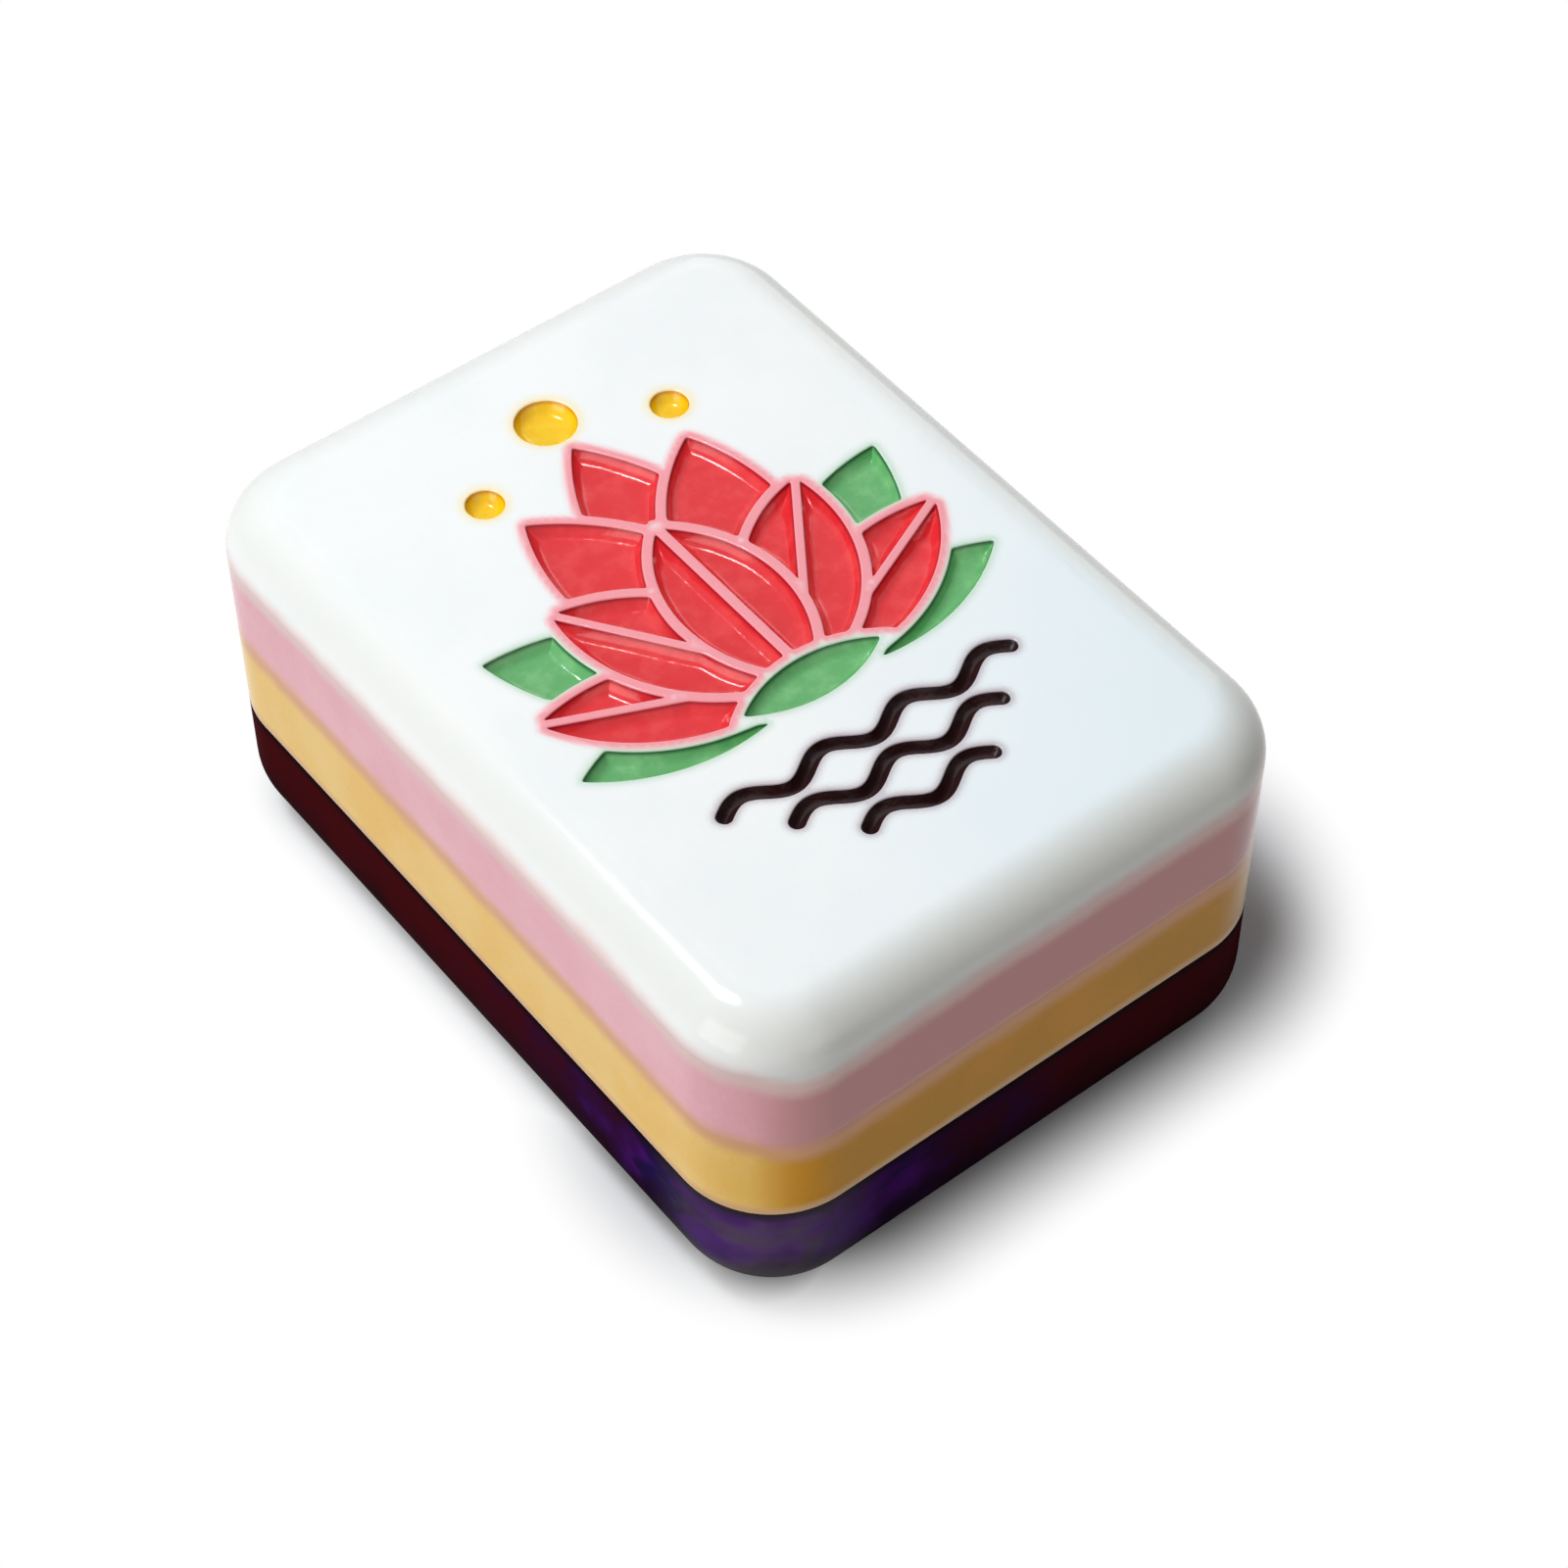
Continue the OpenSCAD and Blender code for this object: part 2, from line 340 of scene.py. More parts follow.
def reach_line(start, rays, across, least):
    """How far a ray goes before its distance along across falls to the least one."""
    speed = rays @ across
    room = np.asarray(start) @ across - least
    return np.where(speed < 0, room / np.maximum(-speed, 1e-12), np.inf)


# %% [markdown]
# ## Outlines as a cutter leaves them
#
# A turning cutter can't cut a sharp corner. Its round tip is imitated by blurring the
# outline along its own length with a bell curve. After that the points are spread again,
# closer together where the outline bends, so that 220 points draw even the tips well.

# %% From rays to a smooth outline
RAYS = 4000
FINE = 1800
OUTLINE_POINTS = 220
TIP_BLUR = 0.085
BEND_WORTH = 0.3


def spread(outline, worth, count):
    """Points spread evenly along an outline by a worth that each stretch of it has."""
    total = np.concatenate([[0], np.cumsum(worth)])
    at = np.linspace(0, total[-1], count, endpoint=False)
    closed = np.concatenate([outline, outline[:1]])
    return np.stack([np.interp(at, total, closed[:, axis]) for axis in (0, 1)], axis=1)


def stretches(outline):
    """Length of each stretch of a closed outline, from each point to the next."""
    return np.linalg.norm(np.roll(outline, -1, axis=0) - outline, axis=1)


def soften(outline):
    """The outline blurred round its length: each point becomes a bell-weighted mean."""
    step = stretches(outline).sum() / len(outline)
    far = int(np.ceil(3 * TIP_BLUR / step))
    shifts = np.arange(-far, far + 1)
    bell = np.exp(-0.5 * (shifts * step / TIP_BLUR) ** 2)
    moved = np.stack([np.roll(outline, shift, axis=0) for shift in shifts])
    return np.tensordot(bell / bell.sum(), moved, axes=1)


def bends(outline):
    """How much a closed outline turns over each stretch, in radians."""
    step = np.roll(outline, -1, axis=0) - outline
    heading = np.arctan2(step[:, 1], step[:, 0])
    turn = np.roll(heading, -1) - heading
    return np.abs((turn + np.pi) % (2 * np.pi) - np.pi)


def cutter_path(outline):
    """Smooth outline of a cell from the raw one that its rays drew."""
    even = spread(outline, stretches(outline), FINE)
    smooth = soften(even)
    worth = stretches(smooth) + BEND_WORTH * bends(smooth)
    return spread(smooth, worth, OUTLINE_POINTS)


# %% The outline of one cell
def all_round(count):
    """Unit vectors, evenly spread all round: cosine and sine of their angles."""
    angle = np.linspace(0, 2 * np.pi, count, endpoint=False)
    return np.stack([np.cos(angle), np.sin(angle)], axis=1)


def petal_outline(petal, middle, half=0):
    """Rays from a cell's middle, stopped by all that bounds it.

    half is -1 for the half over the rib, 1 for the one under it, and 0 for a whole petal.
    """
    rays = all_round(RAYS)
    reach = reach_inside(middle, rays, oval(PETALS[petal]))
    reach = np.minimum(reach, reach_outside(middle, rays, oval(CUP, WALL, CUP_FOOT)))
    if petal != "crown":
        reach = np.minimum(reach, reach_line(middle, rays, np.array([1, 0]), WALL / 2))
    if half:
        across = lean_over([half, 0], PETALS[petal][0])
        reach = np.minimum(reach, reach_line(middle, rays, across, RIB / 2))
    in_front = list(PETALS)[: list(PETALS).index(petal)]
    for other in in_front:
        for side in (1, -1):
            shape = oval(PETALS[other], WALL, side=side)
            reach = np.minimum(reach, reach_outside(middle, rays, shape))
    return cutter_path(middle + reach[:, None] * rays)


# %% [markdown]
# ## All cells of the picture
#
# Each cell is kept as two lists of the same length: its outline, and its heart, the
# place towards which each point of the outline moves when the cell is filled with rings.
# A petal's heart is one point. A ripple is a stroke with round ends along a sine line,
# so its heart is that line. The left half of the blossom mirrors the right one.

# %% Work out the cells
PETAL_CELLS = {
    "front_petal_{}": ("front", (1.0, 3.9), 0, "red"),
    "beside_petal_{}_upper": ("beside", (2.8, 5.4), -1, "red"),
    "beside_petal_{}_lower": ("beside", (3.15, 2.8), 1, "red"),
    "outer_petal_{}_upper": ("outer", (5.4, 3.2), -1, "red"),
    "outer_petal_{}_lower": ("outer", (4.2, 0.9), 1, "red"),
    "tall_petal_{}": ("tall", (2.4, 8.1), 0, "red"),
    "sepal_{}": ("sepal", (6.4, 5.4), 0, "green"),
    "low_sepal_{}": ("low_sepal", (5.66, -0.12), 0, "green"),
}
ROUND_POINTS = 96
CELLS = {}


def keep_cell(node, colour, outline, heart):
    """Keeps a cell, with its outline running anticlockwise."""
    CELLS[node] = {
        "colour": colour,
        "outline": outline,
        "heart": np.broadcast_to(heart, outline.shape).copy(),
    }


def keep_round_cell(node, colour, middle, radius):
    """Keeps a round cell: a circle about its middle."""
    keep_cell(node, colour, middle + radius * all_round(ROUND_POINTS), middle)


for pattern, (petal, middle, half, colour) in PETAL_CELLS.items():
    heart = np.array(middle)
    outline = petal_outline(petal, heart, half)
    mirrored = (outline * [-1, 1])[::-1]
    keep_cell(pattern.format("right"), colour, outline + BLOSSOM_ROOT, heart + BLOSSOM_ROOT)
    heart = heart * [-1, 1]
    keep_cell(pattern.format("left"), colour, mirrored + BLOSSOM_ROOT, heart + BLOSSOM_ROOT)
CROWN_MIDDLE = np.array([0.0, 10.15])
crown = petal_outline("crown", CROWN_MIDDLE)
keep_cell("crown_petal", "red", crown + BLOSSOM_ROOT, CROWN_MIDDLE + BLOSSOM_ROOT)

# %% The cup and the pearls
BIG_PEARL = 2.1
BIG_PEARL_GAP = 0.4
SMALL_PEARL = 1.3
SMALL_PEARL_GAP = 0.95

cup_middle = np.array([0.0, -0.1])
cup_rays = all_round(RAYS)
cup_reach = reach_inside(cup_middle, cup_rays, oval(CUP, 0, CUP_FOOT))
cup_line = cutter_path(cup_middle + cup_reach[:, None] * cup_rays)
keep_cell("cup", "green", cup_line + BLOSSOM_ROOT, cup_middle + BLOSSOM_ROOT)
crown_tip = PETALS["crown"][1]
tall_lean, tall_tip, _ = PETALS["tall"]
big_pearl = np.array([0, crown_tip + BIG_PEARL_GAP + BIG_PEARL / 2])
small_pearl = lean_over([0, tall_tip + SMALL_PEARL_GAP + SMALL_PEARL / 2], tall_lean)
keep_round_cell("pearl_top", "yellow", BLOSSOM_ROOT + big_pearl, BIG_PEARL / 2)
keep_round_cell("pearl_right", "yellow", BLOSSOM_ROOT + small_pearl, SMALL_PEARL / 2)
keep_round_cell("pearl_left", "yellow", BLOSSOM_ROOT + small_pearl * [-1, 1], SMALL_PEARL / 2)

# %% The ripples
STROKE = 0.55
SWELL_L = 1.6
SWELL_H = 0.34
RIPPLES = {"ripple_top": (7, -6.8), "ripple_middle": (5, -8.3), "ripple_bottom": (3, -9.8)}
SWELL_STEPS = 22
END_STEPS = 14


def ripple_cell(swells, level):
    """A stroke along a sine line: the line moved half a stroke to each side, round ends."""
    there = np.linspace(0, swells, swells * SWELL_STEPS + 1)
    ends = np.linspace(-90, 90, END_STEPS + 1)[1:-1]
    at = np.concatenate([there, np.full(len(ends), swells), there[::-1], np.zeros(len(ends))])
    turn = np.concatenate([np.full(len(there), -90), ends, np.full(len(there), 90), ends + 180])
    slope = np.arctan2(np.pi * SWELL_H * np.cos(np.pi * at), SWELL_L)
    heart = np.stack([(at - swells / 2) * SWELL_L, level + SWELL_H * np.sin(np.pi * at)], axis=1)
    way = slope + np.radians(turn)
    return heart + STROKE / 2 * np.stack([np.cos(way), np.sin(way)], axis=1), heart


for node, (swells, level) in RIPPLES.items():
    keep_cell(node, "brown", *ripple_cell(swells, level))
print("cells:", len(CELLS), "points:", sum(len(c["outline"]) for c in CELLS.values()))

# %% [markdown]
# ## The white face
#
# The top of the face is flat, with a hole for each cell. Blender's Delaunay function
# fills such a sheet with triangles: it takes the outlines as edges that must stay, and
# any loose points between them. The loose points form a fine honeycomb in the picture,
# where the finish needs them to paint a glow of each enamel's colour into the white
# round it, and a coarse one elsewhere. Lines of points close to each rim keep the
# shading flat beside it.

# %% Helpers for outlines
RIM_R = 0.05
GUARD = 0.03
ROW_SHARE = 0.866


def outward(outline):
    """Unit vectors pointing out of an anticlockwise outline: its direction turned right."""
    step = np.roll(outline, -1, axis=0) - np.roll(outline, 1, axis=0)
    step /= np.linalg.norm(step, axis=1, keepdims=True)
    return np.stack([step[:, 1], -step[:, 0]], axis=1)


def grown(cell, by):
    """A cell's outline moved out by a distance."""
    return cell["outline"] + by * outward(cell["outline"])


def nearest(points, line):
    """Distance from each point to the nearest point of a line, by the cosine rule."""
    squares = (points**2).sum(axis=1)[:, None] + (line**2).sum(axis=1) - 2 * points @ line.T
    return np.sqrt(np.maximum(squares.min(axis=1), 0))


def nearest_cell(points, colours):
    """Distance from each point to the nearest outline among the cells of some colours."""
    lines = [cell["outline"] for cell in CELLS.values() if cell["colour"] in colours]
    return np.min([nearest(points, line) for line in lines], axis=0)


def honeycomb(half_w, half_l, step):
    """Points in rows, every second row shifted by half a step."""
    rows = np.arange(-half_l, half_l, step * ROW_SHARE)
    x, y = np.meshgrid(np.arange(-half_w, half_w, step), rows)
    shifted = x + np.where(np.arange(len(y)) % 2, step / 2, 0)[:, None]
    return np.stack([shifted.ravel(), y.ravel()], axis=1)


# %% Fill the sheet
FINE_STEP = 0.17
COARSE_STEP = 0.8
HALO = 0.9
HALO_CLEAR = 0.2
EDGE_CLEAR = 0.3
GUARD_CLEAR = 2.2
GUARD_LEAST = 0.9
SAME_POINT = 1e-6
COLOURS = ("red", "green", "yellow", "brown")


def loose_points():
    """Honeycomb points, fine near the cells and coarse elsewhere, clear of all rims."""
    fine = honeycomb(HALF_W - FACE_EDGE_R, HALF_L - FACE_EDGE_R, FINE_STEP)
    gap = nearest_cell(fine, COLOURS)
    fine = fine[(gap > RIM_R + GUARD_CLEAR * GUARD) & (gap < HALO)]
    half_w = HALF_W - FACE_EDGE_R - EDGE_CLEAR
    half_l = HALF_L - FACE_EDGE_R - EDGE_CLEAR
    coarse = honeycomb(half_w, half_l, COARSE_STEP)
    coarse = coarse[nearest_cell(coarse, COLOURS) > HALO + HALO_CLEAR]
    past = np.maximum(np.abs(coarse) - [HALF_W - CORNER_R, HALF_L - CORNER_R], 0)
    coarse = coarse[np.linalg.norm(past, axis=1) < CORNER_R - FACE_EDGE_R - EDGE_CLEAR]
    guards = np.concatenate([grown(cell, RIM_R + GUARD) for cell in CELLS.values()])
    guards = guards[nearest_cell(guards, COLOURS) > RIM_R + GUARD * GUARD_LEAST]
    inner = block_ring(FACE_EDGE_R + CAP_RING)
    return np.concatenate([fine, coarse, guards, inner])


def fill_sheet():
    """Triangles between the rim of the sheet and the rims of the cells."""
    loops = [block_ring(FACE_EDGE_R)] + [grown(cell, RIM_R) for cell in CELLS.values()]
    starts = np.cumsum([0] + [len(loop) for loop in loops])
    rims = [list(range(a, b)) for a, b in zip(starts[:-1], starts[1:])]
    flat = [Vector(p) for p in np.concatenate(loops + [loose_points()]).tolist()]
    points, _, triangles, _, _, homes = delaunay_2d_cdt(flat, [], rims, 1, SAME_POINT)
    kept = [list(t) for t, home in zip(triangles, homes) if home == [0]]
    return np.array([p[:] for p in points]), kept


sheet, sheet_faces = fill_sheet()
print("sheet:", len(sheet), "points,", len(sheet_faces), "triangles")

# %% [markdown]
# ## Rims, walls and floors
#
# A small round rim leads from the sheet into each cell, then a straight wall, then the
# flat floor. They are rings of the cell's outline again. The outside of the plate is
# rings of the block down the round edge of the face. Everything goes into one list of
# points, and the merging in make_piece sews the sheet, the cells and the outside up.

# %% Make the face
RIM_STEPS = 5
# Painted glow: how far each enamel's colour shows in the white round its cell, full and then
# fading.
GLOW_FULL = {"red": 0.15, "green": 0.0, "yellow": 0.0, "brown": 0.0}
GLOW_WIDTH = {"red": 0.14, "green": 0.18, "yellow": 0.22, "brown": 0.16}


def cell_rings(cell):
    """Rings from a cell's rim to its floor: quarter circle, wall, and floor to the heart."""
    turn = np.radians(np.linspace(0, 90, RIM_STEPS + 1))
    outs = np.concatenate([RIM_R * (1 - np.sin(turn)), [0]])
    drops = np.concatenate([RIM_R * (1 - np.cos(turn)), [TOP - POCKET_FLOOR]])
    way = outward(cell["outline"])
    rings = [cell["outline"] + out * way for out in outs] + [cell["heart"]]
    levels = TOP - np.concatenate([drops, [TOP - POCKET_FLOOR]])
    return np.concatenate(
        [np.column_stack([ring, np.full(len(ring), z)]) for ring, z in zip(rings, levels)]
    )


def halo_glow(points, colour):
    """Painted glow of an enamel's colour in the white: full near its cell, then falling as a
    bell curve; 0 on floors.
    """
    above_floor = points[:, 2] > POCKET_FLOOR + LEAST_STEP
    gap = np.maximum(nearest_cell(points[:, :2], (colour,)) - GLOW_FULL[colour], 0)
    return np.exp(-((gap / GLOW_WIDTH[colour]) ** 2)) * above_floor


def make_face():
    """The face plate: sheet, cells, round edge and underside."""
    parts = [np.column_stack([sheet, np.full(len(sheet), TOP)])]
    faces = list(sheet_faces)
    wear_and_shade = [np.zeros(len(sheet))]
    for cell in CELLS.values():
        rings = cell_rings(cell)
        count = len(cell["outline"])
        faces += ring_quads(len(rings) // count, count, sum(map(len, parts)))
        parts.append(rings)
        wear_and_shade.append(np.zeros(len(rings)))
    levels = levels_between(*LEVELS["face_layer"])
    first = sum(map(len, parts))
    faces += ring_quads(len(levels), len(CORE), first)
    faces += [list(range(first, first + len(CORE)))]
    parts.append(stack(inset_at(levels), levels))
    wear_and_shade.append(wear_at(levels).ravel())
    points = np.concatenate(parts)
    marks = {"wear_and_shade": np.concatenate(wear_and_shade)}
    marks.update({colour + "_halo_glow": halo_glow(points, colour) for colour in COLOURS})
    return make_piece("white_plate", points, faces, "face_layer", marks)


PIECES["white_face"] = [make_face()]

# %% [markdown]
# ## The enamel
#
# Enamel is dripped into the cells, wiped off the face and left to dry. It shrinks, so it
# clings to the walls near the rim and lies lower in the middle, like a shallow bath. The
# rings of a cell run from its outline to its heart, close together at first. Each point's
# level follows from its true distance to the outline, so the bath's wall is equally wide
# in the tips and along the sides. A few slow waves keep the surface from being perfect.

# %% Fill the cells with enamel
FILL_RINGS = 26
CLING = RIM_R
BATH_DEPTH = 0.43
BATH_WALL = 0.42
BATH_BEND = 2.3
CROWDING = 1.9
WAVE_H = 0.022
WAVES = 5
WAVE_PACE = 3.2
OVERLAP = 0.004


def distance_to(points, line):
    """Distance from each point to a closed line: the nearest foot on any stretch of it."""
    step = np.roll(line, -1, axis=0) - line
    gap = points[:, None, :] - line[None]
    share = np.clip((gap * step).sum(-1) / (step**2).sum(-1), 0, 1)
    return np.linalg.norm(gap - share[..., None] * step, axis=-1).min(axis=1)


def waves(points, seed):
    """Slow unevenness: the mean of some sine waves with seeded directions and phases."""
    random = np.random.default_rng(seed)
    ways = random.normal(size=(WAVES, 2)) * WAVE_PACE
    phases = random.uniform(0, 2 * np.pi, WAVES)
    return np.sin(points @ ways.T + phases).sum(axis=1) / WAVES


def make_fill(node, cell, seed):
    """Enamel in a cell: rings over its surface, then a skirt down to the pocket's floor."""
    shares = 1 - np.linspace(0, 1, FILL_RINGS) ** CROWDING
    outer = cell["outline"] + OVERLAP * outward(cell["outline"])
    flat = cell["heart"] + shares[:, None, None] * (outer - cell["heart"])
    count = len(outer)
    flat = flat.reshape(-1, 2)
    fall = 1 - (1 - np.clip(distance_to(flat, outer) / BATH_WALL, 0, 1)) ** BATH_BEND
    drop = CLING + (BATH_DEPTH - CLING) * fall + WAVE_H * fall * waves(flat, seed)
    surface = np.column_stack([flat, TOP - drop])
    floor = np.full(count, POCKET_FLOOR - OVERLAP)
    foot = np.column_stack([outer, floor])
    under = np.column_stack([cell["heart"], floor])
    faces = ring_quads(FILL_RINGS, count)
    faces += ring_quads(3, count, FILL_RINGS * count)
    points = np.concatenate([surface, surface[:count], foot, under])
    pool = np.concatenate([fall, fall[:count], np.zeros(2 * count)])
    slot = cell["colour"] + "_enamel"
    piece = make_piece("enamel_" + node, points, faces, node, {"pool": pool})
    PIECES.setdefault(slot, []).append(piece)


for seed, (node, cell) in enumerate(CELLS.items()):
    make_fill(node, cell, seed)

# %% [markdown]
# ## Sums on sockets
#
# A material is a net of nodes, and much of it is arithmetic. The class Reading wraps the
# output of a node and overloads plus, minus, times and so on, so that an expression in
# Python adds the Math nodes. Finish holds one net, and its method node makes any other
# kind: first the settings, then the values or links of the sockets.

# %% Readings and finishes
class Reading:
    """The output of a node. A sum with it adds a Math node and gives a new reading."""

    def __init__(self, finish, socket):
        self.finish = finish
        self.socket = socket

    def math(self, operation, first, second=0.0):
        """One Math node on two readings or numbers."""
        return self.finish.node("Math", {"operation": operation}, {0: first, 1: second})

    def __add__(self, other):
        return self.math("ADD", self, other)

    def __radd__(self, other):
        return self.math("ADD", other, self)

    def __sub__(self, other):
        return self.math("SUBTRACT", self, other)

    def __rsub__(self, other):
        return self.math("SUBTRACT", other, self)

    def __mul__(self, other):
        return self.math("MULTIPLY", self, other)

    def __rmul__(self, other):
        return self.math("MULTIPLY", other, self)

    def __abs__(self):
        return self.math("ABSOLUTE", self)

    def most(self, other):
        """The larger of the two."""
        return self.math("MAXIMUM", self, other)

    def least(self, other):
        """The smaller of the two."""
        return self.math("MINIMUM", self, other)


class Finish:
    """One net of nodes, of a material or of the world."""

    def __init__(self, owner):
        owner.use_nodes = True
        self.tree = owner.node_tree
        self.tree.nodes.clear()

    def node(self, kind, settings=None, feeds=None, take=0):
        """Makes a node, sets it up, feeds its sockets, and gives one of its outputs."""
        made = self.tree.nodes.new("ShaderNode" + kind)
        for key, value in (settings or {}).items():
            setattr(made, key, value)
        for key, value in (feeds or {}).items():
            if isinstance(value, Reading):
                self.tree.links.new(value.socket, made.inputs[key])
            else:
                made.inputs[key].default_value = value
        return Reading(self, made.outputs[take]) if made.outputs else made

    def vector(self, operation, first, second=(0.0, 0.0, 0.0), take=0):
        """One Vector Math node; its output 1 is a number, such as a length."""
        feeds = {0: first, 1: second}
        return self.node("VectorMath", {"operation": operation}, feeds, take)

    def axis(self, place, number):
        """One number of a place: 0 is across the tile, 1 along it, 2 its height."""
        return self.node("SeparateXYZ", None, {0: place}, number)

    def blend(self, first, second, share):
        """Two colours mixed: share 0 gives the first, 1 the second."""
        feeds = {0: share, 6: first, 7: second}
        return self.node("Mix", {"data_type": "RGBA"}, feeds, take=2)

    def rise(self, value, low, high):
        """A smooth step: 0 up to low, 1 from high on."""
        feeds = {0: value, 1: low, 2: high, 3: 0.0, 4: 1.0}
        return self.node("MapRange", {"interpolation_type": "SMOOTHSTEP"}, feeds)

    def mark(self, name):
        """A number that the mesh carries at each point."""
        return self.node("Attribute", {"attribute_name": name}, take=2)

    def place(self):
        """The place on the piece in millimetres, from its Object coordinates."""
        metres = self.node("TexCoord", take=3)
        return self.node("VectorMath", {"operation": "SCALE"}, {0: metres, 3: 1 / MM})

    def noise(self, place, scale, detail=3.0, rough=0.5):
        """Cloudy noise from 0 to 1; scale is in lumps a millimetre."""
        feeds = {"Vector": place, "Scale": scale, "Detail": detail, "Roughness": rough}
        return self.node("TexNoise", None, feeds)

    def bump(self, height):
        """The normal, bent by a height in millimetres."""
        return self.node("Bump", None, {"Strength": 1.0, "Distance": MM, "Height": height})

    def show(self, feeds):
        """A Principled surface with these feeds, as the material's output."""
        surface = self.node("BsdfPrincipled", None, feeds)
        self.node("OutputMaterial", None, {"Surface": surface})


def tint(red, green, blue_shade):
    """A colour from its values on a screen, 0 to 255, as the plain light that Blender uses."""
    share = np.array([red, green, blue_shade]) / 255
    light = np.where(share <= 0.04045, share / 12.92, ((share + 0.055) / 1.055) ** 2.4)
    return (*light.tolist(), 1.0)


# %% [markdown]
# ## Hairlines and wear
#
# A tile is shuffled on a table with all the others, so its polish carries hairlines:
# long, thin and in all directions. Noise that is stretched along one direction has thin
# level lines. Where it is close to one half, there is a scratch. A slower noise lets
# only some of them through. They change the gloss and the bump, and not the colour. The
# mark for worn round edges makes them duller. On the white plate it also greys them a
# little, partly wear and partly painted shade on the brightly lit round edge.

# %% Scratches and polish
SCRATCH_AXIS = (0.2, 0.3, 1.0)
SCRATCH_STRETCH = (0.12, 2.6, 2.6)
SCRATCH_HALF = 0.012
SCRATCH_ROUGH = 0.12
SCRATCH_DEPTH = 0.0012
CLOUD_ROUGH = 0.05
PEEL_H = 0.0024
GRAIN_H = 0.00035


def hairlines(finish, place, angle, coverage):
    """Scratches along one direction: stretched noise near one half, thinned by a slow one."""
    feeds = {0: place, 2: SCRATCH_AXIS, 3: angle}
    turned = finish.node("VectorRotate", {"rotation_type": "AXIS_ANGLE"}, feeds)
    long = finish.node("Mapping", None, {0: turned, 3: SCRATCH_STRETCH})
    lines = 1.0 - finish.rise(abs(finish.noise(long, 1.0, 1.0) - 0.5), 0.0, SCRATCH_HALF)
    return lines * finish.rise(finish.noise(place, 0.35), 1.0 - coverage, 1.1 - coverage)


def polish(finish, place, wear_and_shade, smooth, worn):
    """Roughness and bump of polished acrylic: clouds, hairlines and dull worn edges."""
    scratches = hairlines(finish, place, 0.5, 0.5).most(hairlines(finish, place, 2.2, 0.48))
    clouds = finish.noise(place, 0.6, 4.0, 0.6)
    dull = worn * wear_and_shade * finish.noise(place, 3.0)
    rough = smooth + CLOUD_ROUGH * clouds + dull + SCRATCH_ROUGH * scratches
    peel = PEEL_H * finish.noise(place, 1.3, 2.0)
    grain = GRAIN_H * finish.noise(place, 14.0, 2.0)
    return rough, finish.bump(peel + grain * (1.0 + wear_and_shade) - SCRATCH_DEPTH * scratches)


# %% [markdown]
# ## Milky acrylic
#
# The white, pink and amber plates let a little light in and scatter it, so their colours
# run into each other softly where they meet. Principled's subsurface does the glow. The
# soft seam is painted: one function gives the colour of the whole stack by the height of
# the place, and every plate and film takes its colour from it, so no seam shows a step.
# The seams are a little out of level, and dip on the short sides and at one corner. The
# short sides are painted deeper in colour, as painted shade, and the face is painted a
# little bluer and darker towards the lower right, as painted shade.

# %% Colours of the plates
WHITE = tint(243, 245, 246)
WHITE_COOL = tint(239, 242, 244)
# Painted shade: a cooler, slightly darker white for the lower right of the face.
WHITE_BLUE_SHADE = tint(226, 240, 248)
PINK = tint(243, 188, 200)
PINK_DEEP = tint(237, 174, 187)
# Painted shade: the deeper pink of the short sides.
PINK_END_SHADE = tint(216, 157, 161)
AMBER = tint(247, 209, 130)
AMBER_DEEP = tint(243, 196, 100)
# Painted shade: the deeper ambers of the short sides.
AMBER_END_SHADE = tint(220, 152, 18)
AMBER_END_SHADE_DEEP = tint(205, 146, 10)
AMBER_LOW = tint(228, 182, 134)
SEAM_PALE = tint(236, 206, 205)
SEAM_PEACH = tint(228, 171, 128)
SEAM_HALF = 0.72
SEAM_LIFT = 0.05
SLOW_RIPPLE = 0.25
QUICK_RIPPLE = 0.3
PINK_TILT = -0.01
PINK_END_DIP = 0.5
PINK_CORNER_DIP = 0.3
AMBER_END_DIP = 0.45
AMBER_CORNER_DIP = 0.1
AMBER_LOW_FADE = 0.35
BLUE_SHADE_SHARE = 0.7
WAY_TO_CORNER = (-0.7071, -0.7071, 0.0)
CORNER_REACH = (12.5, 17.0)
END_REACH = (HALF_L - 1.3, HALF_L - 0.1)
LOWER_RIGHT_REACH = (0.0, 20.0)
FACE_REACH = (TOP - 0.9, TOP - 0.1)


def cloudy(finish, place, first, second):
    """Cast colour: two close tones in slow clouds with fine speckle on top."""
    clouds = finish.noise(place, 0.22, 4.0, 0.55)
    speckle = finish.noise(place, 6.0, 2.0)
    return finish.blend(first, second, finish.rise(0.8 * clouds + 0.2 * speckle, 0.35, 0.65))


def diagonal(finish, place):
    """How far a place lies out towards the corner between the left and front sides."""
    return finish.vector("DOT_PRODUCT", place, WAY_TO_CORNER, take=1)


